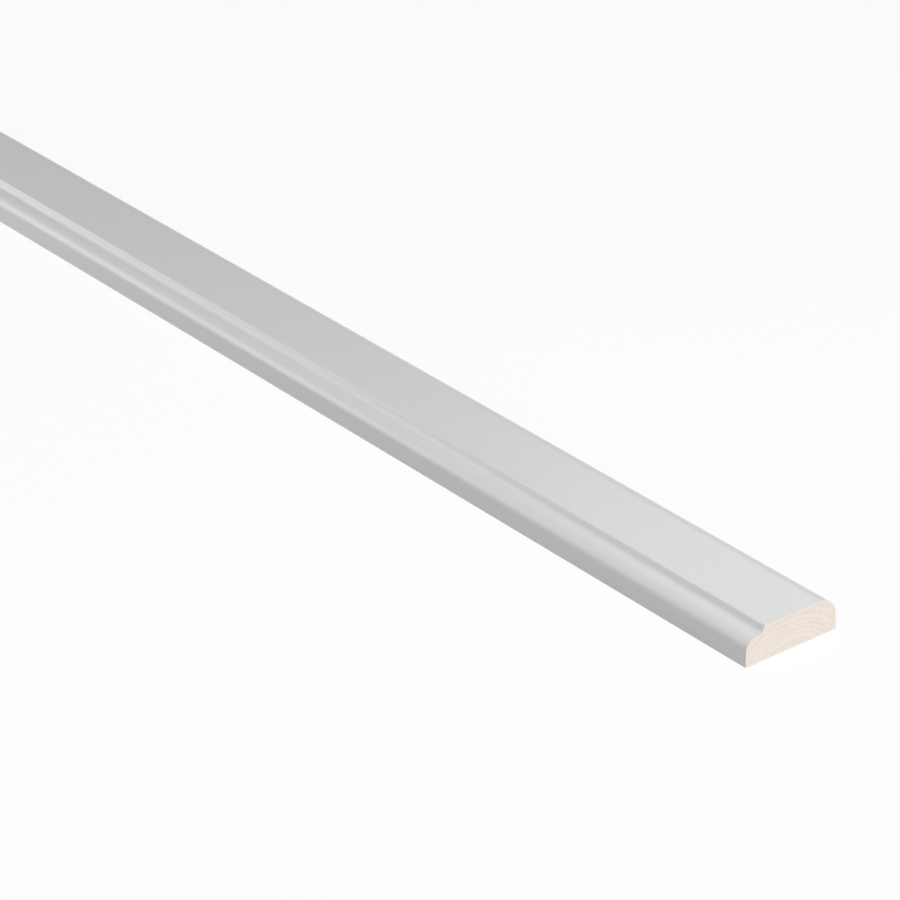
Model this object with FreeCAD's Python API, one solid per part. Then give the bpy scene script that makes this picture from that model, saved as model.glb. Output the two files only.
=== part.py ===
"""Architrave moulding: one straight length of planed, moulded and primed softwood.

It lies on its flat back face. The length runs along X, the width along Y and the
thickness along Z, in millimetres. The origin is the centre of the back face. The
moulded inner edge, which frames the opening, is at -Y, and the outer edge is at +Y.
"""
import FreeCAD, Part
import math
import os

from FreeCAD import Vector

# Stock
length = 2400.0
width = 55.0
thickness = 18.0

# Moulded inner edge: a quarter round, a ledge behind it and a step up to the face.
# The ledge rises a little to the step, and the step leans back from upright.
ledge_depth = 9.0
ledge_rise = 0.5
step_height = 4.1
step_lean_degrees = 21.0
quarter_round_radius = 5.8
step_foot_radius = 2.6
step_arris_radius = 0.8

# Outer edge, which leans in a little under its round shoulder
outer_edge_lean_degrees = 3.5
shoulder_radius = 11.0

# Both corners of the back face
back_arris_radius = 0.3


def section_corners():
    """Corners of the section from the inner edge round to the back, as (point, radius)."""
    inner = -width / 2
    outer = width / 2
    ledge_back = thickness - step_height
    ledge_front = ledge_back - ledge_rise
    step_foot = inner + ledge_depth
    step_top = step_foot + step_height * math.tan(math.radians(step_lean_degrees))
    shoulder = outer - thickness * math.tan(math.radians(outer_edge_lean_degrees))
    return [
        (Vector(0, inner, 0), back_arris_radius),
        (Vector(0, inner, ledge_front), quarter_round_radius),
        (Vector(0, step_foot, ledge_back), step_foot_radius),
        (Vector(0, step_top, thickness), step_arris_radius),
        (Vector(0, shoulder, thickness), shoulder_radius),
        (Vector(0, outer, 0), back_arris_radius),
    ]


def rounded_corner(before, corner, after, radius):
    """The start, middle and end of the arc that touches both sides of a corner."""
    side_in = (before - corner).normalize()
    side_out = (after - corner).normalize()
    half_angle = side_in.getAngle(side_out) / 2
    setback = radius / math.tan(half_angle)
    bisector = (side_in + side_out).normalize()
    middle = corner + bisector * (radius / math.sin(half_angle) - radius)
    return corner + side_in * setback, middle, corner + side_out * setback


def section_face():
    """The moulding's section: straight sides joined by arcs that touch them."""
    corners = section_corners()
    points = [point for point, radius in corners]
    arcs = []
    for index, (corner, radius) in enumerate(corners):
        before = points[index - 1]
        after = points[(index + 1) % len(points)]
        arcs.append(rounded_corner(before, corner, after, radius))
    edges = []
    for index, (start, middle, end) in enumerate(arcs):
        edges.append(Part.Arc(start, middle, end).toShape())
        next_start = arcs[(index + 1) % len(arcs)][0]
        edges.append(Part.makeLine(end, next_start))
    return Part.Face(Part.Wire(edges))


def architrave_moulding():
    """The section run the whole length, centred on the origin, with both ends sawn square."""
    face = section_face()
    face.translate(Vector(-length / 2, 0, 0))
    return face.extrude(Vector(length, 0, 0))


os.makedirs("parts", exist_ok=True)
moulding = architrave_moulding()
moulding.exportStep("parts/architrave_moulding.step")
print("architrave_moulding", moulding.ShapeType, "valid", moulding.isValid())
print("volume in cubic centimetres", round(moulding.Volume / 1000, 1))
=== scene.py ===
"""Architrave moulding: one length of primed softwood with bare sawn ends.

The moulding lies on its flat back face, with its length along X, its width along Y and the
moulded face up. The script is laid out as an add-on: settings, the operators that make the
moulding and the studio, and a panel that lists them. All sizes are in metres.
"""

import math
from types import SimpleNamespace

import bpy
import numpy as np
from bpy.props import FloatProperty, FloatVectorProperty, PointerProperty
from mathutils import Matrix, Vector, geometry


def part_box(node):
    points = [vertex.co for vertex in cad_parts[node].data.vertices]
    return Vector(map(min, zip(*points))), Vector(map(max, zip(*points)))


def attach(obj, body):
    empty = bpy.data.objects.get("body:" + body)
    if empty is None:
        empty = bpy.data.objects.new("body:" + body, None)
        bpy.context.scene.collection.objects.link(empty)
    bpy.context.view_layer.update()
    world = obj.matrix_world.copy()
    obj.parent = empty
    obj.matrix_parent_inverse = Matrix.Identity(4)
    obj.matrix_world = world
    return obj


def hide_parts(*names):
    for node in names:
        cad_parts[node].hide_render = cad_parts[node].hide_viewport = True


bl_info = {
    "name": "Architrave moulding",
    "version": (1, 0, 0),
    "blender": (4, 5, 0),
    "location": "3D View > Sidebar > Architrave",
    "description": "Makes a primed softwood architrave with sawn ends, and the studio it lies in",
    "category": "Object",
}

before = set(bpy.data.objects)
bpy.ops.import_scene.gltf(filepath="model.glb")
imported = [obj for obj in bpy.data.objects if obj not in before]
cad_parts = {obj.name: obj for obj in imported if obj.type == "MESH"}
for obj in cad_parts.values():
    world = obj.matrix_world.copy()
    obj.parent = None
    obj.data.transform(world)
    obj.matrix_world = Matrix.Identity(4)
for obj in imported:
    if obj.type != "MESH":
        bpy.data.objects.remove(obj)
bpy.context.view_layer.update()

NODE = "architrave_moulding"
MM = 0.001

low, high = (Vector(corner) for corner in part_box(NODE))
LENGTH = high.x - low.x
THICKNESS = high.z - low.z


class MouldingSizes(bpy.types.PropertyGroup):
    """The section's sizes, and how finely the moulding is meshed."""

    width: FloatProperty(
        name="Width", description="Width of the back face, over its arrises",
        default=55.0 * MM, unit="LENGTH", precision=4)
    ledge_depth: FloatProperty(
        name="Ledge depth", description="From the inner edge to the foot of the step",
        default=9.1 * MM, unit="LENGTH", precision=4)
    ledge_rise: FloatProperty(
        name="Ledge rise", description="How much higher the ledge is at the step than at the inner edge",
        default=0.2 * MM, unit="LENGTH", precision=4)
    step_height: FloatProperty(
        name="Step height", description="Height of the step from the ledge to the flat face",
        default=3.9 * MM, unit="LENGTH", precision=4)
    step_lean: FloatProperty(
        name="Step lean", description="How far the step leans back from upright",
        default=math.radians(21.0), subtype="ANGLE", unit="ROTATION")
    quarter_round_radius: FloatProperty(
        name="Quarter round", description="Radius of the quarter round on the inner edge",
        default=5.6 * MM, unit="LENGTH", precision=4)
    step_foot_radius: FloatProperty(
        name="Step foot", description="Radius of the hollow at the foot of the step",
        default=1.8 * MM, unit="LENGTH", precision=4)
    step_arris_radius: FloatProperty(
        name="Step arris", description="Radius of the arris at the top of the step",
        default=0.6 * MM, unit="LENGTH", precision=4)
    outer_edge_lean: FloatProperty(
        name="Outer edge lean", description="How far the outer edge leans in from upright",
        default=math.radians(3.5), subtype="ANGLE", unit="ROTATION")
    shoulder_radius: FloatProperty(
        name="Shoulder", description="Radius of the shoulder at the outer edge",
        default=11.0 * MM, unit="LENGTH", precision=4)
    back_arris_radius: FloatProperty(
        name="Back arris", description="Radius of both corners of the back face",
        default=0.3 * MM, unit="LENGTH", precision=5)
    flat_spacing: FloatProperty(
        name="Flat spacing", description="Distance between points on the straight sides of the section",
        default=1.5 * MM, unit="LENGTH", precision=4)
    arc_spacing: FloatProperty(
        name="Arc spacing", description="Distance between points on the section's arcs",
        default=0.45 * MM, unit="LENGTH", precision=5)
    row_spacing: FloatProperty(
        name="Row spacing", description="Distance between rows of points along the moulding",
        default=12.0 * MM, unit="LENGTH", precision=4)
    end_spacing: FloatProperty(
        name="End spacing", description="Distance between points on the sawn ends",
        default=0.4 * MM, unit="LENGTH", precision=5)


class WoodGrowth(bpy.types.PropertyGroup):
    """How the softwood grew, and how the saw left its ends."""

    pith_across: FloatProperty(
        name="Pith across", description="Where the tree's centre line lies, from the moulding's middle",
        default=-2.0 * MM, unit="LENGTH", precision=4)
    pith_depth: FloatProperty(
        name="Pith depth", description="How far below the back face the tree's centre line lies",
        default=19.0 * MM, unit="LENGTH", precision=4)
    ring_width: FloatProperty(
        name="Ring width", description="Mean width of a growth ring",
        default=2.8 * MM, unit="LENGTH", precision=4)
    late_wood_relief: FloatProperty(
        name="Late wood relief", description="How far the hard late wood stands proud on a sawn end",
        default=0.05 * MM, unit="LENGTH", precision=6)
    saw_mark_pitch: FloatProperty(
        name="Saw mark pitch", description="Distance between the marks that the saw's teeth left",
        default=0.9 * MM, unit="LENGTH", precision=5)
    saw_mark_depth: FloatProperty(
        name="Saw mark depth", description="Depth of the saw marks",
        default=0.03 * MM, unit="LENGTH", precision=6)
    cut_edge_break: FloatProperty(
        name="Cut edge break", description="How far the saw broke the edges of the cut",
        default=0.08 * MM, unit="LENGTH", precision=6)
    early_wood: FloatVectorProperty(
        name="Early wood", description="Colour of the soft wood of spring",
        default=(0.92, 0.83, 0.74), subtype="COLOR")
    late_wood: FloatVectorProperty(
        name="Late wood", description="Colour of the hard wood of summer",
        default=(0.79, 0.70, 0.61), subtype="COLOR")


class PrimerCoat(bpy.types.PropertyGroup):
    """The white primer on all four long sides."""

    colour: FloatVectorProperty(
        name="Colour", description="Colour of the primer",
        default=(0.70, 0.70, 0.703), subtype="COLOR")
    roughness: FloatProperty(
        name="Roughness", description="Mean roughness of the dry primer",
        default=0.30, min=0.0, max=1.0, subtype="FACTOR")
    knife_pitch: FloatProperty(
        name="Knife pitch", description="Distance between the cutter's marks across the moulding",
        default=1.35 * MM, unit="LENGTH", precision=5)
    knife_depth: FloatProperty(
        name="Knife depth", description="Depth of the cutter's marks under the primer",
        default=0.002 * MM, unit="LENGTH", precision=6)
    grain_relief: FloatProperty(
        name="Grain relief", description="How far the grain shows through the primer as relief",
        default=0.006 * MM, unit="LENGTH", precision=6)
    # Width of the primer's edge on a sawn end, which carries both the primer's own colour and a painted
    # highlight
    film_and_highlight: FloatProperty(
        name="Film", description="Width of the primer's edge, as seen on a sawn end",
        default=0.6 * MM, unit="LENGTH", precision=5)
    # Partly the primer's own colour and partly a painted highlight: this edge is set much lighter than the
    # primer itself
    cut_film_and_highlight: FloatVectorProperty(
        name="Cut film", description="Colour of the primer's edge, crushed into the wood by the saw",
        default=(0.87, 0.83, 0.79), subtype="COLOR")


class Studio(bpy.types.PropertyGroup):
    """The floor, the lamps and the camera."""

    view_azimuth: FloatProperty(
        name="Azimuth", description="Turn of the camera from looking along the moulding's width",
        default=math.radians(51.42), subtype="ANGLE", unit="ROTATION")
    view_elevation: FloatProperty(
        name="Elevation", description="How far the camera looks down",
        default=math.radians(27.88), subtype="ANGLE", unit="ROTATION")
    lens: FloatProperty(
        name="Lens", description="Focal length on a frame 36 mm wide, in millimetres",
        default=142.61, min=1.0)
    corner_depth: FloatProperty(
        name="Corner depth", description="From the camera to the near corner, along the line of sight",
        default=1.5666, unit="LENGTH", precision=4)
    floor_colour: FloatVectorProperty(
        name="Floor", description="Colour of the floor, as it lights the moulding",
        default=(0.55, 0.55, 0.55), subtype="COLOR")
    seen_floor_colour: FloatVectorProperty(
        name="Seen floor", description="Colour of the floor, as the camera sees it",
        default=(0.95, 0.95, 0.95), subtype="COLOR")
    sky: FloatProperty(
        name="Sky", description="Strength of the even light from all round",
        default=0.05, min=0.0)
    lamps: FloatProperty(
        name="Lamps", description="Strength of all the lamps together",
        default=1.0, min=0.0)


# Sockets of a colour Mix node, and of a Compare node for whole numbers
COLOUR_FACTOR, FIRST_COLOUR, SECOND_COLOUR, COLOUR_RESULT = 0, 6, 7, 2
FIRST_COUNT, SECOND_COUNT = 2, 3


def add_node(tree, kind, inputs=None, **settings):
    """Adds a node, makes its settings, and sets or links its inputs, each by name or number."""
    node = tree.nodes.new(kind)
    for name, value in settings.items():
        setattr(node, name, value)
    for name, value in (inputs or {}).items():
        if isinstance(value, bpy.types.NodeSocket):
            tree.links.new(value, node.inputs[name])
        else:
            node.inputs[name].default_value = value
    return node


def result(tree, kind, inputs=None, **settings):
    """The first output of a node that is added as add_node does."""
    return add_node(tree, kind, inputs, **settings).outputs[0]


def maths(tree, operation, *values):
    """The result of a sum on one to three numbers."""
    return result(tree, "ShaderNodeMath", dict(enumerate(values)), operation=operation)


def wave(tree, turns):
    """A number that swings smoothly between 0 and 1, once for each turn."""
    swing = maths(tree, "SINE", maths(tree, "MULTIPLY", turns, math.tau))
    return maths(tree, "MULTIPLY_ADD", swing, 0.5, 0.5)


def stretched(tree, position, factors):
    """A place with each of its coordinates multiplied."""
    return result(tree, "ShaderNodeVectorMath", {0: position, 1: factors}, operation="MULTIPLY")


def noise(tree, position, per_unit, detail=2.0):
    """Noise from 0 to 1, mostly near 0.5.

    per_unit says how many blotches there are to each of the axes' units. The units are metres
    in a plain place, and rings, radians and metres in a place among the growth rings.
    """
    inputs = {"Vector": stretched(tree, position, per_unit), "Scale": 1.0, "Detail": detail}
    return result(tree, "ShaderNodeTexNoise", inputs)


def spread(tree, value, start, end, first=0.0, last=1.0):
    """first up to start, last from end on, and a smooth change between them."""
    inputs = {"Value": value, "From Min": start, "From Max": end, "To Min": first, "To Max": last}
    return result(tree, "ShaderNodeMapRange", inputs, interpolation_type="SMOOTHSTEP")


def mixed_colour(tree, factor, first, second):
    """first mixed with second, which is as strong as factor says."""
    inputs = {COLOUR_FACTOR: factor, FIRST_COLOUR: first, SECOND_COLOUR: second}
    node = tree.nodes.new("ShaderNodeMix")
    node.data_type = "RGBA"
    for number, value in inputs.items():
        if isinstance(value, bpy.types.NodeSocket):
            tree.links.new(value, node.inputs[number])
        elif number == COLOUR_FACTOR:
            node.inputs[number].default_value = value
        else:
            node.inputs[number].default_value = (*value, 1.0)
    return node.outputs[COLOUR_RESULT]


PITH_DRIFT, PITH_SINK = 0.0012, 0.0018     # how far the centre line moves across and down in a metre
RING_WANDER = 2.2 * MM                     # how far the rings wander from true circles
UNEVEN_PACE, UNEVEN_RINGS = 1.1, 0.3       # how the rings' width varies: radians a ring, and rings
LATE_RISE, LATE_FULL, LATE_FALL = 0.30, 0.88, 0.90     # where the late wood lies, as shares of a ring
BLADE_MIDDLE = (0.0, -60 * MM, -95 * MM)   # the middle of the saw's blade
BLADE_SHAKE = 2.5                          # how far the saw's marks wander, in marks


def growth_rings(tree, position, growth):
    """The number of rings, with a fraction, from the tree's centre line to a place.

    Also the place as rings from the centre line, the turn round it and metres along it. The
    centre line drifts a little along the length, so that the rings run out of the long faces
    in slender flames, as they do in a flat-sawn length.
    """
    axes = add_node(tree, "ShaderNodeSeparateXYZ", {0: position})
    along, across, up = axes.outputs
    drift = maths(tree, "MULTIPLY", along, PITH_DRIFT)
    sink = maths(tree, "MULTIPLY", along, PITH_SINK)
    across = maths(tree, "SUBTRACT", maths(tree, "SUBTRACT", across, growth.pith_across), drift)
    up = maths(tree, "ADD", maths(tree, "ADD", up, growth.pith_depth), sink)
    radius = maths(tree, "SQRT", maths(tree, "ADD", maths(tree, "MULTIPLY", across, across),
                                       maths(tree, "MULTIPLY", up, up)))
    wander = maths(tree, "SUBTRACT", noise(tree, position, per_unit=(1.6, 55.0, 55.0), detail=3.0), 0.5)
    radius = maths(tree, "MULTIPLY_ADD", wander, RING_WANDER, radius)
    rings = maths(tree, "DIVIDE", radius, growth.ring_width)
    uneven = maths(tree, "SINE", maths(tree, "MULTIPLY", rings, UNEVEN_PACE))
    rings = maths(tree, "MULTIPLY_ADD", uneven, UNEVEN_RINGS, rings)
    turn = maths(tree, "ARCTAN2", across, up)
    return rings, result(tree, "ShaderNodeCombineXYZ", {"X": rings, "Y": turn, "Z": along})


def late_wood_share(tree, rings):
    """0 in the pale early wood of a ring, rising to 1 in its dark late wood and falling at its end."""
    fraction = maths(tree, "FRACT", rings)
    rise = spread(tree, fraction, LATE_RISE, LATE_FULL)
    fall = spread(tree, fraction, LATE_FALL, 1.0, first=1.0, last=0.0)
    return maths(tree, "MULTIPLY", rise, fall)


def saw_marks(tree, position, growth):
    """0 to 1 across each mark of the saw, which are arcs round a blade below the moulding."""
    on_the_cut = stretched(tree, position, (0.0, 1.0, 1.0))
    reach = add_node(tree, "ShaderNodeVectorMath", {0: on_the_cut, 1: BLADE_MIDDLE}, operation="DISTANCE")
    shake = noise(tree, position, per_unit=(0.0, 90.0, 90.0))
    marks = maths(tree, "DIVIDE", reach.outputs["Value"], growth.saw_mark_pitch)
    return wave(tree, maths(tree, "MULTIPLY_ADD", shake, BLADE_SHAKE, marks))


def section_corners(sizes):
    """The section's corners in (y, z), from the inner edge round to the back, with their radii."""
    inner = -sizes.width / 2
    outer = sizes.width / 2
    ledge_back = THICKNESS - sizes.step_height
    ledge_front = ledge_back - sizes.ledge_rise
    step_foot = inner + sizes.ledge_depth
    step_top = step_foot + sizes.step_height * math.tan(sizes.step_lean)
    shoulder = outer - THICKNESS * math.tan(sizes.outer_edge_lean)
    return [
        (Vector((inner, 0.0)), sizes.back_arris_radius),
        (Vector((inner, ledge_front)), sizes.quarter_round_radius),
        (Vector((step_foot, ledge_back)), sizes.step_foot_radius),
        (Vector((step_top, THICKNESS)), sizes.step_arris_radius),
        (Vector((shoulder, THICKNESS)), sizes.shoulder_radius),
        (Vector((outer, 0.0)), sizes.back_arris_radius),
    ]


def rounded_corner(before, corner, after, radius, spacing):
    """Points along the arc that touches both sides of a corner."""
    side_in = (before - corner).normalized()
    side_out = (after - corner).normalized()
    half_angle = side_in.angle(side_out) / 2
    setback = radius / math.tan(half_angle)
    centre = corner + (side_in + side_out).normalized() * (radius / math.sin(half_angle))
    start = corner + side_in * setback - centre
    end = corner + side_out * setback - centre
    sweep = start.angle(end)
    fewest_steps = 6
    count = max(fewest_steps, math.ceil(radius * sweep / spacing))
    points = []
    for step in range(count + 1):
        share = step / count
        spoke = start * math.sin((1 - share) * sweep) + end * math.sin(share * sweep)
        points.append(centre + spoke / math.sin(sweep))
    return points


def section_outline(sizes):
    """The section's outline as an array of (y, z), anticlockwise seen from the +X end."""
    corners = section_corners(sizes)
    points = [point for point, radius in corners]
    arcs = []
    for index, (corner, radius) in enumerate(corners):
        after = points[(index + 1) % len(points)]
        arcs.append(rounded_corner(points[index - 1], corner, after, radius, sizes.arc_spacing))
    outline = []
    for index, arc in enumerate(arcs):
        outline += arc
        side = arcs[(index + 1) % len(arcs)][0] - arc[-1]
        count = math.ceil(side.length / sizes.flat_spacing)
        outline += [arc[-1] + side * (step / count) for step in range(1, count)]
    return np.array(outline)[::-1]


def inside_outline(places, outline):
    """Whether each (y, z) place lies inside the outline."""
    y, z = places[:, :1], places[:, 1:]
    start, end = outline, np.roll(outline, -1, axis=0)
    level = (start[:, 1] > z) != (end[:, 1] > z)
    rise = np.where(end[:, 1] == start[:, 1], 1.0, end[:, 1] - start[:, 1])
    crossing = start[:, 0] + (end[:, 0] - start[:, 0]) * (z - start[:, 1]) / rise
    return (level & (y < crossing)).sum(axis=1) % 2 == 1


def edge_distance(places, outline):
    """Each (y, z) place's distance from the nearest point of the outline."""
    start = outline[None]
    side = np.roll(outline, -1, axis=0)[None] - start
    offset = places[:, None] - start
    share = np.clip((offset * side).sum(axis=2) / (side * side).sum(axis=2), 0.0, 1.0)
    return np.linalg.norm(offset - side * share[..., None], axis=2).min(axis=1)


def sawn_face(outline, spacing):
    """A flat mesh of the section, finely divided, that knows each point's distance from the edge."""
    low_corner, high_corner = outline.min(axis=0), outline.max(axis=0)
    columns = np.arange(low_corner[0], high_corner[0], spacing)
    rows = np.arange(low_corner[1], high_corner[1], spacing)
    places = np.stack(np.meshgrid(columns, rows), axis=2).reshape(-1, 2)
    places = places[inside_outline(places, outline)]
    nearest_to_edge = spacing * 0.6
    places = places[edge_distance(places, outline) > nearest_to_edge]
    wanted = [Vector(place) / MM for place in np.concatenate([outline, places])]
    edges = [(index, (index + 1) % len(outline)) for index in range(len(outline))]
    inside_only, same_place = 1, 1e-6
    found, _, faces, *_ = geometry.delaunay_2d_cdt(wanted, edges, [], inside_only, same_place)
    flat = np.array([tuple(point) for point in found]) * MM
    mesh = bpy.data.meshes.new("sawn_face")
    mesh.from_pydata([(0.0, y, z) for y, z in flat], [], faces)
    distances = mesh.attributes.new("edge_distance", "FLOAT", "POINT")
    distances.data.foreach_set("value", edge_distance(flat, outline).astype(np.float32))
    return mesh


# The node tree's inputs that shape the sawn ends, and the settings that fill them
END_SIZES = {
    "Pith across": "pith_across",
    "Pith depth": "pith_depth",
    "Ring width": "ring_width",
    "Late wood relief": "late_wood_relief",
    "Saw mark pitch": "saw_mark_pitch",
    "Saw mark depth": "saw_mark_depth",
    "Cut edge break": "cut_edge_break",
}


CUT_ROW = 0.1 * MM             # points of the long sides that lie this near a cut are on its edge
CHIP_WIDTH = 0.35 * MM         # how far a broken edge reaches in over a sawn end
FULL_RELIEF = 0.5 * MM         # from a sawn end's edge to where its relief is whole
SAME_PLACE = 0.01 * MM         # points that lie this near each other become one


def moulding_tree():
    """A node tree that runs a sawn face along the length and dresses both ends as the saw left them."""
    tree = bpy.data.node_groups.new("run_of_moulding", "GeometryNodeTree")
    new_socket = tree.interface.new_socket
    new_socket("Sawn face", in_out="INPUT", socket_type="NodeSocketGeometry")
    new_socket("Length", in_out="INPUT", socket_type="NodeSocketFloat")
    new_socket("Rows", in_out="INPUT", socket_type="NodeSocketInt")
    for name in END_SIZES:
        new_socket(name, in_out="INPUT", socket_type="NodeSocketFloat")
    new_socket("Primer", in_out="INPUT", socket_type="NodeSocketMaterial")
    new_socket("Sawn wood", in_out="INPUT", socket_type="NodeSocketMaterial")
    new_socket("Moulding", in_out="OUTPUT", socket_type="NodeSocketGeometry")
    given = add_node(tree, "NodeGroupInput").outputs
    growth = SimpleNamespace(**{size: given[name] for name, size in END_SIZES.items()})
    position = result(tree, "GeometryNodeInputPosition")
    along = result(tree, "ShaderNodeSeparateXYZ", {0: position})
    half_length = maths(tree, "DIVIDE", given["Length"], 2.0)
    near_place = result(tree, "ShaderNodeCombineXYZ", {"X": half_length})
    far_place = result(tree, "ShaderNodeCombineXYZ", {"X": maths(tree, "MULTIPLY", half_length, -1.0)})

    # The edges of a cut are broken unevenly, and the same for the face and the sides that meet there
    grit = noise(tree, position, per_unit=(700.0, 700.0, 700.0), detail=3.0)
    chips = spread(tree, grit, start=0.35, end=0.75, first=0.35, last=1.0)
    broken = maths(tree, "MULTIPLY", chips, growth.cut_edge_break)

    def moved_in(mesh, amount, selection=None):
        """The mesh with its points moved towards the middle of the length."""
        side = maths(tree, "SIGN", along)
        inward = maths(tree, "MULTIPLY", maths(tree, "MULTIPLY", amount, side), -1.0)
        inputs = {"Geometry": mesh, "Offset": result(tree, "ShaderNodeCombineXYZ", {"X": inward})}
        if selection is not None:
            inputs["Selection"] = selection
        return result(tree, "GeometryNodeSetPosition", inputs)

    def joined(*meshes):
        """The meshes together."""
        join = add_node(tree, "GeometryNodeJoinGeometry")
        for mesh in meshes:
            tree.links.new(mesh, join.inputs[0])
        return join.outputs[0]

    # Long sides
    neighbours = result(tree, "GeometryNodeInputMeshEdgeNeighbors")
    border = result(tree, "FunctionNodeCompare", {FIRST_COUNT: neighbours, SECOND_COUNT: 1},
                    data_type="INT", operation="EQUAL")
    outline = result(tree, "GeometryNodeMeshToCurve", {"Mesh": given["Sawn face"], "Selection": border})
    profile = result(tree, "GeometryNodeTransform",
                     {"Geometry": outline, "Rotation": (0.0, -math.pi / 2, math.pi / 2)})
    path = result(tree, "GeometryNodeCurvePrimitiveLine", {"Start": far_place, "End": near_place})
    path = result(tree, "GeometryNodeResampleCurve", {"Curve": path, "Count": given["Rows"]})
    sides = result(tree, "GeometryNodeCurveToMesh", {"Curve": path, "Profile Curve": profile})
    reach = maths(tree, "SUBTRACT", half_length, maths(tree, "ABSOLUTE", along))
    sides = moved_in(sides, broken, selection=maths(tree, "LESS_THAN", reach, CUT_ROW))

    # Sawn ends
    distance = result(tree, "GeometryNodeInputNamedAttribute", {"Name": "edge_distance"}, data_type="FLOAT")
    rings, _ = growth_rings(tree, position, growth)
    late = late_wood_share(tree, rings)
    worn = maths(tree, "MULTIPLY", maths(tree, "SUBTRACT", 1.0, late), growth.late_wood_relief)
    marks = maths(tree, "MULTIPLY", saw_marks(tree, position, growth), growth.saw_mark_depth)
    inside = spread(tree, distance, 0.0, FULL_RELIEF)
    at_edge = spread(tree, distance, 0.0, CHIP_WIDTH, first=1.0, last=0.0)
    relief = maths(tree, "ADD", maths(tree, "MULTIPLY", maths(tree, "ADD", worn, marks), inside),
                   maths(tree, "MULTIPLY", broken, at_edge))
    near_end, far_end = (
        result(tree, "GeometryNodeTransform", {"Geometry": given["Sawn face"], "Translation": place})
        for place in (near_place, far_place))
    far_end = result(tree, "GeometryNodeFlipFaces", {"Mesh": far_end})
    ends = joined(moved_in(near_end, relief), moved_in(far_end, relief))
    ends = result(tree, "GeometryNodeStoreNamedAttribute",
                  {"Geometry": ends, "Name": "sawn", "Value": True}, data_type="BOOLEAN", domain="FACE")

    whole = joined(sides, ends)
    whole = result(tree, "GeometryNodeMergeByDistance", {"Geometry": whole, "Distance": SAME_PLACE})
    whole = result(tree, "GeometryNodeSetShadeSmooth", {"Geometry": whole})
    whole = result(tree, "GeometryNodeRealizeInstances", {"Geometry": whole})
    whole = result(tree, "GeometryNodeSetMaterial", {"Geometry": whole, "Material": given["Primer"]})
    is_sawn = result(tree, "GeometryNodeInputNamedAttribute", {"Name": "sawn"}, data_type="BOOLEAN")
    whole = result(tree, "GeometryNodeSetMaterial",
                   {"Geometry": whole, "Selection": is_sawn, "Material": given["Sawn wood"]})
    add_node(tree, "NodeGroupOutput", {0: whole})
    return tree


def set_inputs(modifier, values):
    """Sets a node modifier's inputs, which it knows by their sockets' identifiers."""
    for item in modifier.node_group.interface.items_tree:
        if item.name in values and item.in_out == "INPUT":
            modifier[item.identifier] = values[item.name]


def new_material(name):
    """An empty material, its node tree and its surface shader."""
    material = bpy.data.materials.new(name)
    material.use_nodes = True
    tree = material.node_tree
    return material, tree, tree.nodes["Principled BSDF"]


def relief_bump(tree, height, depth, under=None):
    """A normal bent as if the surface rose by depth where height goes from 0 to 1."""
    inputs = {"Height": height, "Distance": depth, "Strength": 1.0}
    if under is not None:
        inputs["Normal"] = under
    return result(tree, "ShaderNodeBump", inputs)


DARKEST, LIGHTEST = 0.93, 1.07             # the primer's tones, as shares of its colour
STREAK_SHARE, CLOUD_SHARE = 0.03, 0.05     # how far streaks and clouds move it between them
ROUGHNESS_RANGE = 0.01                     # how much smoother and rougher than its mean it gets
KNIFE_SHAKE = 0.8                          # how far the cutter's marks wander, in marks
STREAK_DEPTH = 0.004 * MM                  # relief of the streaks
SKIN_DEPTH = 0.008 * MM                    # relief of the primer's fine skin


def primer_material():
    """White primer: fine-grained, satin, with grain and cutter marks faintly showing through."""
    coat = bpy.context.scene.primer_coat
    growth = bpy.context.scene.wood_growth
    material, tree, surface = new_material("white_primer")
    position = add_node(tree, "ShaderNodeTexCoord").outputs["Object"]
    streaks = noise(tree, position, per_unit=(6.0, 420.0, 420.0), detail=4.0)
    clouds = noise(tree, position, per_unit=(9.0, 40.0, 40.0))
    tone = maths(tree, "MULTIPLY_ADD", maths(tree, "SUBTRACT", streaks, 0.5), STREAK_SHARE, 0.5)
    tone = maths(tree, "MULTIPLY_ADD", maths(tree, "SUBTRACT", clouds, 0.5), CLOUD_SHARE, tone)
    darker = tuple(channel * DARKEST for channel in coat.colour)
    lighter = tuple(channel * LIGHTEST for channel in coat.colour)
    colour = mixed_colour(tree, tone, darker, lighter)
    tree.links.new(colour, surface.inputs["Base Color"])
    rough = spread(tree, clouds, start=0.3, end=0.7, first=coat.roughness - ROUGHNESS_RANGE,
                   last=coat.roughness + ROUGHNESS_RANGE)
    tree.links.new(rough, surface.inputs["Roughness"])

    along = result(tree, "ShaderNodeSeparateXYZ", {0: position})
    shake = noise(tree, position, per_unit=(30.0, 15.0, 15.0))
    cuts = maths(tree, "MULTIPLY_ADD", shake, KNIFE_SHAKE, maths(tree, "DIVIDE", along, coat.knife_pitch))
    rings, _ = growth_rings(tree, position, growth)
    skin = noise(tree, position, per_unit=(900.0, 1300.0, 1300.0))
    normal = relief_bump(tree, wave(tree, rings), coat.grain_relief)
    normal = relief_bump(tree, wave(tree, cuts), coat.knife_depth, normal)
    normal = relief_bump(tree, streaks, STREAK_DEPTH, normal)
    normal = relief_bump(tree, skin, SKIN_DEPTH, normal)
    tree.links.new(normal, surface.inputs["Normal"])
    return material


SPECK_SHADE = 0.90                         # the specks and threads, as a share of early wood's colour
RAGGED = 0.5 * MM                          # how far the primer's edge wanders on a sawn end
HIGHLIGHT_FROM, HIGHLIGHT_TO = 0.6, 0.85       # where up the thickness the primer's edge and its painted highlight grow stronger
WOOD_ROUGHNESS, FILM_ROUGHNESS = 0.78, 0.5
PORE_DEPTH = 0.03 * MM


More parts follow.
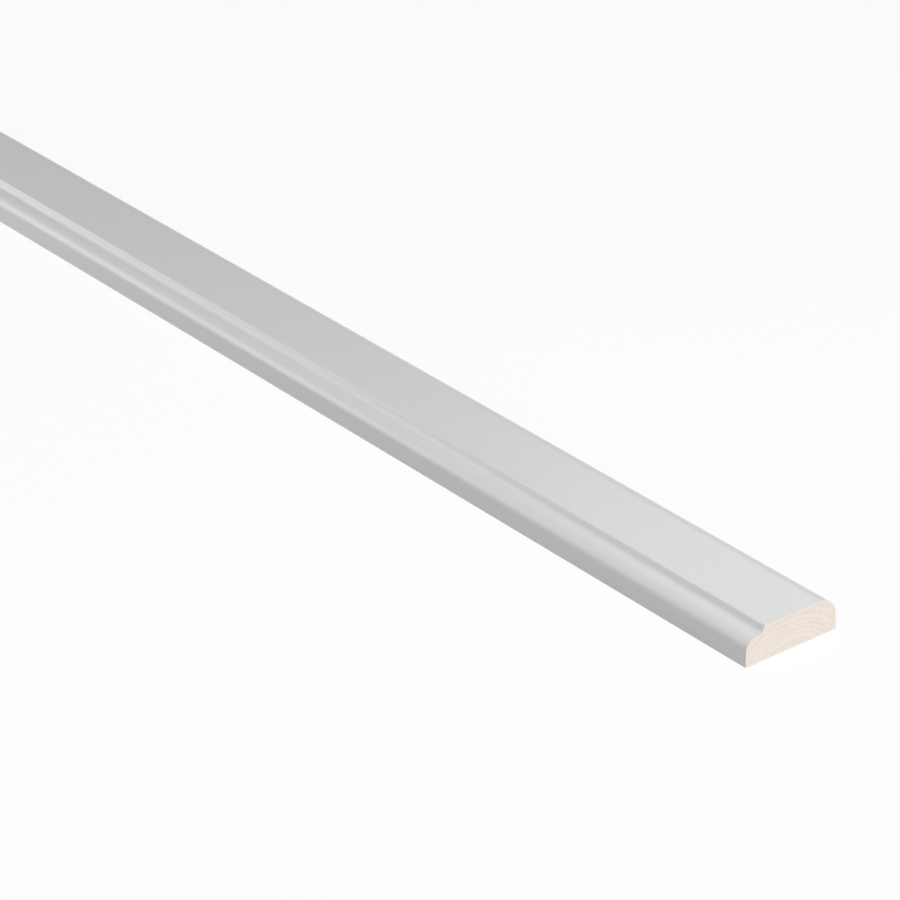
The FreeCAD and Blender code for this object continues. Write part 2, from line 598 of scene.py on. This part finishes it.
def sawn_wood_material():
    """Bare sawn end grain: pale early wood, darker late wood, and the primer's broken edge round it, with a
    painted highlight.
    """
    coat = bpy.context.scene.primer_coat
    growth = bpy.context.scene.wood_growth
    material, tree, surface = new_material("sawn_softwood")
    position = add_node(tree, "ShaderNodeTexCoord").outputs["Object"]
    rings, ring_place = growth_rings(tree, position, growth)
    dashes = spread(tree, noise(tree, ring_place, per_unit=(1.6, 9.0, 3.0), detail=3.0),
                    start=0.32, end=0.68, first=0.1, last=0.9)
    late = maths(tree, "MULTIPLY", late_wood_share(tree, rings), dashes)
    wood = mixed_colour(tree, late, growth.early_wood, growth.late_wood)
    threads = noise(tree, ring_place, per_unit=(5.0, 22.0, 3.0))
    specks = noise(tree, position, per_unit=(900.0, 900.0, 900.0), detail=3.0)
    shaded = tuple(channel * SPECK_SHADE for channel in growth.early_wood)
    wood = mixed_colour(tree, spread(tree, threads, start=0.35, end=0.75, last=0.5), wood, shaded)
    wood = mixed_colour(tree, spread(tree, specks, start=0.3, end=0.75, last=0.25), wood, shaded)

    # The primer's edge, partly its own colour and partly a painted highlight, strongest along the moulded
    # face, with a faint darker band inside it
    distance = add_node(tree, "ShaderNodeAttribute", attribute_name="edge_distance").outputs["Fac"]
    ragged = maths(tree, "MULTIPLY_ADD", maths(tree, "SUBTRACT", specks, 0.5), RAGGED, distance)
    band_start = spread(tree, ragged, start=coat.film_and_highlight * 1.2, end=coat.film_and_highlight * 2.4, last=0.3)
    band_end = spread(tree, ragged, start=coat.film_and_highlight * 2.6, end=coat.film_and_highlight * 4.2, first=1.0, last=0.0)
    wood = mixed_colour(tree, maths(tree, "MULTIPLY", band_start, band_end), wood, growth.late_wood)
    height = add_node(tree, "ShaderNodeSeparateXYZ", {0: position}).outputs["Z"]
    # Painted highlight: the primer's edge is set stronger towards the moulded face, where light from above
    # falls on it
    highlight_towards_top = spread(tree, height, start=THICKNESS * HIGHLIGHT_FROM, end=THICKNESS * HIGHLIGHT_TO, first=0.35)
    patches = spread(tree, noise(tree, position, per_unit=(110.0, 110.0, 110.0)),
                     start=0.35, end=0.6, first=0.5)
    # Where the primer's edge and its painted highlight lie, fading inwards from the cut's outline
    film_and_highlight = spread(tree, ragged, start=coat.film_and_highlight * 0.5, end=coat.film_and_highlight * 2.6, first=1.0, last=0.0)
    film_and_highlight = maths(tree, "MULTIPLY", film_and_highlight, maths(tree, "MULTIPLY", highlight_towards_top, patches))
    # The primer's edge, with its painted highlight, laid over the wood
    colour = mixed_colour(tree, film_and_highlight, wood, coat.cut_film_and_highlight)
    tree.links.new(colour, surface.inputs["Base Color"])
    rough = spread(tree, film_and_highlight, 0.0, 1.0, first=WOOD_ROUGHNESS, last=FILM_ROUGHNESS)
    tree.links.new(rough, surface.inputs["Roughness"])

    pores = noise(tree, position, per_unit=(2500.0, 2500.0, 2500.0), detail=3.0)
    normal = relief_bump(tree, saw_marks(tree, position, growth), growth.saw_mark_depth)
    normal = relief_bump(tree, pores, PORE_DEPTH, normal)
    tree.links.new(normal, surface.inputs["Normal"])
    return material


def baking_map(mesh, outline):
    """A map with room for the ends: the long sides fill its lower part, squeezed along the length.

    Both ends lie side by side above them, with their shape kept.
    """
    sides_top, ends_bottom, margin = 0.80, 0.82, 0.005
    primer_index = 0
    vertex = np.empty(len(mesh.loops), np.int32)
    mesh.loops.foreach_get("vertex_index", vertex)
    places = np.empty(len(mesh.vertices) * 3, np.float32)
    mesh.vertices.foreach_get("co", places)
    places = places.reshape(-1, 3).astype(float)
    steps = np.linalg.norm(np.roll(outline, -1, axis=0) - outline, axis=1)
    girth = np.concatenate([[0.0], np.cumsum(steps)[:-1]]) / steps.sum()
    nearest = np.array([np.abs(outline - place).sum(axis=1).argmin() for place in places[:, 1:]])
    round_share = girth[nearest][vertex]
    along = (places[:, 0] - low.x) / LENGTH
    across = (places[:, 1] - outline[:, 0].min()) / np.ptp(outline[:, 0])
    up = places[:, 2] / THICKNESS
    layer = mesh.uv_layers.new(name="OFBake")
    shown = np.empty((len(mesh.loops), 2))
    for face in mesh.polygons:
        loops = slice(face.loop_start, face.loop_start + face.loop_total)
        points = vertex[loops]
        if face.material_index == primer_index:
            share = round_share[loops]
            if np.ptp(share) > 0.5:     # this face closes the ring round the section
                share = np.where(share < 0.5, share + 1.0, share)
            shown[loops, 0] = margin + along[points] * (1 - 2 * margin)
            shown[loops, 1] = margin + share * (sides_top - 2 * margin)
        else:
            left = 0.5 if face.center.x > 0 else 0.0
            shown[loops, 0] = left + margin + across[points] * (0.5 - 2 * margin)
            shown[loops, 1] = ends_bottom + up[points] * (1 - ends_bottom - margin)
    layer.uv.foreach_set("vector", shown.astype(np.float32).ravel())


SHARP_ANGLE = math.radians(35)             # edges that turn by more than this are shaded sharp


class ARCHITRAVE_OT_moulding(bpy.types.Operator):
    """Make the length of moulding with its primer and its sawn ends."""

    bl_idname = "architrave.moulding"
    bl_label = "Moulding"

    def execute(self, context):
        sizes = context.scene.moulding_sizes
        outline = section_outline(sizes)
        face = sawn_face(outline, sizes.end_spacing)
        moulding = bpy.data.objects.new("primed_architrave", face)
        context.collection.objects.link(moulding)
        modifier = moulding.modifiers.new("run_of_moulding", "NODES")
        modifier.node_group = moulding_tree()
        growth = context.scene.wood_growth
        values = {name: getattr(growth, size) for name, size in END_SIZES.items()}
        values["Length"] = LENGTH
        values["Rows"] = round(LENGTH / sizes.row_spacing) + 1
        values["Primer"] = primer_material()
        values["Sawn wood"] = sawn_wood_material()
        set_inputs(modifier, values)
        made = moulding.evaluated_get(context.evaluated_depsgraph_get())
        mesh = bpy.data.meshes.new_from_object(made)
        mesh.name = "primed_architrave"
        moulding.modifiers.remove(modifier)
        moulding.data = mesh
        bpy.data.meshes.remove(face)
        mesh.set_sharp_from_angle(angle=SHARP_ANGLE)
        baking_map(mesh, outline)
        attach(moulding, "root")
        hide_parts(NODE)
        return {"FINISHED"}


def direction(azimuth, elevation):
    """The way a camera looks, turned by azimuth from +Y and tipped down by elevation."""
    return Vector((-math.sin(azimuth) * math.cos(elevation), math.cos(azimuth) * math.cos(elevation),
                   -math.sin(elevation)))


def studio_camera(studio):
    """A camera that sees the near end as the photograph does."""
    picture_width, picture_centre = 900, 450     # pixels
    corner_pixel = Vector((745.5, 668.4))        # the inner corner of the near end, on the floor
    frame_width = 36.0                           # millimetres
    forward = direction(studio.view_azimuth, studio.view_elevation)
    right = Vector((math.cos(studio.view_azimuth), math.sin(studio.view_azimuth), 0.0))
    up = right.cross(forward)
    focal = studio.lens / frame_width * picture_width
    sideways = (corner_pixel.x - picture_centre) / focal
    down = (corner_pixel.y - picture_centre) / focal
    corner = Vector((high.x, low.y, low.z))
    place = corner - studio.corner_depth * (forward + right * sideways - up * down)
    camera = bpy.data.objects.new("camera", bpy.data.cameras.new("camera"))
    camera.data.lens = studio.lens
    camera.data.sensor_width = frame_width
    camera.data.clip_end = 100.0
    turn = Matrix((right, up, -forward)).transposed()
    camera.matrix_world = Matrix.Translation(place) @ turn.to_4x4()
    bpy.context.collection.objects.link(camera)
    bpy.context.scene.camera = camera


def softbox(name, place, target, width, height, radiance, fan):
    """A soft lamp of a given size whose face shines at radiance, aimed at target.

    Its light fans out by fan degrees: 180 for a plain lamp, and less to light the far half alone.
    """
    lamp = bpy.data.lights.new(name, "AREA")
    lamp.spread = math.radians(fan)
    lamp.shape = "RECTANGLE"
    lamp.size = width
    lamp.size_y = height
    lamp.energy = radiance * math.pi * width * height
    lamp_object = bpy.data.objects.new(name, lamp)
    lamp_object.visible_camera = False
    aim = (Vector(target) - Vector(place)).to_track_quat("-Z", "Y")
    lamp_object.matrix_world = Matrix.Translation(place) @ aim.to_matrix().to_4x4()
    bpy.context.collection.objects.link(lamp_object)


def looked_at(tree):
    """1 for what the camera sees, straight or in a reflection, and 0 for what only gives light."""
    rays = add_node(tree, "ShaderNodeLightPath").outputs
    mirrored = maths(tree, "MAXIMUM", rays["Is Glossy Ray"], rays["Is Transmission Ray"])
    return maths(tree, "MAXIMUM", rays["Is Camera Ray"], mirrored)


def floor_material(studio):
    """A pale floor that the camera sees nearly white, with the moulding's shadow on it."""
    material, tree, surface = new_material("studio_floor")
    seen = looked_at(tree)
    colour = mixed_colour(tree, seen, studio.floor_colour, studio.seen_floor_colour)
    tree.links.new(colour, surface.inputs["Base Color"])
    surface.inputs["Roughness"].default_value = 0.9
    surface.inputs["Specular IOR Level"].default_value = 0.1
    whiteness = 0.92     # the share of plain white in what the camera sees
    white = result(tree, "ShaderNodeEmission", {"Strength": 1.0})
    mix = result(tree, "ShaderNodeMixShader",
                 {0: maths(tree, "MULTIPLY", seen, whiteness), 1: surface.outputs[0], 2: white})
    tree.links.new(mix, tree.nodes["Material Output"].inputs["Surface"])
    return material


def studio_world(studio):
    """Even light from all round, and a white background for the camera."""
    world = bpy.data.worlds.new("studio")
    world.use_nodes = True
    tree = world.node_tree
    background = tree.nodes["Background"]
    background.inputs["Color"].default_value = (1.0, 1.0, 1.0, 1.0)
    strength = spread(tree, looked_at(tree), 0.0, 1.0, studio.sky, 1.0)
    tree.links.new(strength, background.inputs["Strength"])
    bpy.context.scene.world = world


# Each lamp's name, the place along the length that it is aimed at, its azimuth and elevation
# in degrees as seen from there, its distance, width and height, how bright its face is, and
# how far its light fans out in degrees
LAMPS = [
    ("overhead_lamp", 1.25, 0.0, 88.0, 0.8, 0.5, 0.5, 3.1, 180.0),
    ("back_lamp", 1.13, 40.0, 32.5, 1.4, 0.56, 0.3, 1.65, 180.0),
    ("far_lamp", 0.8, 128.0, 13.0, 0.95, 0.65, 0.55, 2.0, 180.0),
    ("far_high_lamp", 0.71, 130.0, 23.5, 0.94, 0.66, 0.79, 0.6, 180.0),
    ("front_lamp", 0.9, 180.0, 30.0, 2.2, 1.4, 1.4, 1.65, 180.0),
    ("end_lamp", 1.2, 270.0, 30.0, 2.0, 1.2, 1.2, 6.95, 180.0),
    ("far_half_overhead_lamp", -0.65, 0.0, 88.0, 0.75, 1.0, 0.6, 0.3, 80.0),
    ("far_half_back_lamp", -0.75, 0.0, 29.0, 1.14, 0.9, 0.5, 0.5, 70.0),
    ("far_end_lamp", -1.2, 90.0, 35.0, 0.9, 0.4, 0.4, 0.75, 40.0),
]


class ARCHITRAVE_OT_studio(bpy.types.Operator):
    """Make the floor, the lamps, the background and the camera."""

    bl_idname = "architrave.studio"
    bl_label = "Studio"

    def execute(self, context):
        studio = context.scene.studio
        reach = 20.0                        # from the moulding's middle to the floor's edges
        floor_level = low.z - 0.05 * MM     # just clear of the back face
        corners = [(-reach, -reach), (reach, -reach), (reach, reach), (-reach, reach)]
        mesh = bpy.data.meshes.new("studio_floor")
        mesh.from_pydata([(x, y, floor_level) for x, y in corners], [], [(0, 1, 2, 3)])
        mesh.materials.append(floor_material(studio))
        floor = bpy.data.objects.new("studio_floor", mesh)
        context.collection.objects.link(floor)
        studio_camera(studio)
        studio_world(studio)
        for name, aim, azimuth, elevation, distance, width, height, radiance, fan in LAMPS:
            target = Vector((aim, 0.0, 0.0))
            place = target + direction(math.radians(azimuth), math.radians(-elevation)) * distance
            softbox(name, place, target, width, height, radiance * studio.lamps, fan)
        context.scene.view_settings.view_transform = "Standard"
        return {"FINISHED"}


class ARCHITRAVE_PT_sidebar(bpy.types.Panel):
    """Lists what the add-on makes, with its settings."""

    bl_label = "Architrave"
    bl_idname = "ARCHITRAVE_PT_sidebar"
    bl_space_type = "VIEW_3D"
    bl_region_type = "UI"
    bl_category = "Architrave"

    def draw(self, context):
        for group, operator in ((context.scene.moulding_sizes, "architrave.moulding"),
                                (context.scene.wood_growth, None),
                                (context.scene.primer_coat, None),
                                (context.scene.studio, "architrave.studio")):
            box = self.layout.box()
            for name in group.__annotations__:
                box.prop(group, name)
            if operator:
                box.operator(operator)


CLASSES = (MouldingSizes, WoodGrowth, PrimerCoat, Studio, ARCHITRAVE_OT_moulding, ARCHITRAVE_OT_studio,
           ARCHITRAVE_PT_sidebar)
SETTINGS = {"moulding_sizes": MouldingSizes, "wood_growth": WoodGrowth, "primer_coat": PrimerCoat,
            "studio": Studio}


def register():
    """Registers the classes and gives the scene its settings."""
    for made_class in CLASSES:
        bpy.utils.register_class(made_class)
    for name, group in SETTINGS.items():
        setattr(bpy.types.Scene, name, PointerProperty(type=group))


def unregister():
    """Takes the settings and the classes away again."""
    for name in SETTINGS:
        delattr(bpy.types.Scene, name)
    for made_class in reversed(CLASSES):
        bpy.utils.unregister_class(made_class)


def main():
    """Makes the moulding and the studio."""
    register()
    bpy.ops.architrave.moulding()
    bpy.ops.architrave.studio()


if __name__ == "__main__":
    main()
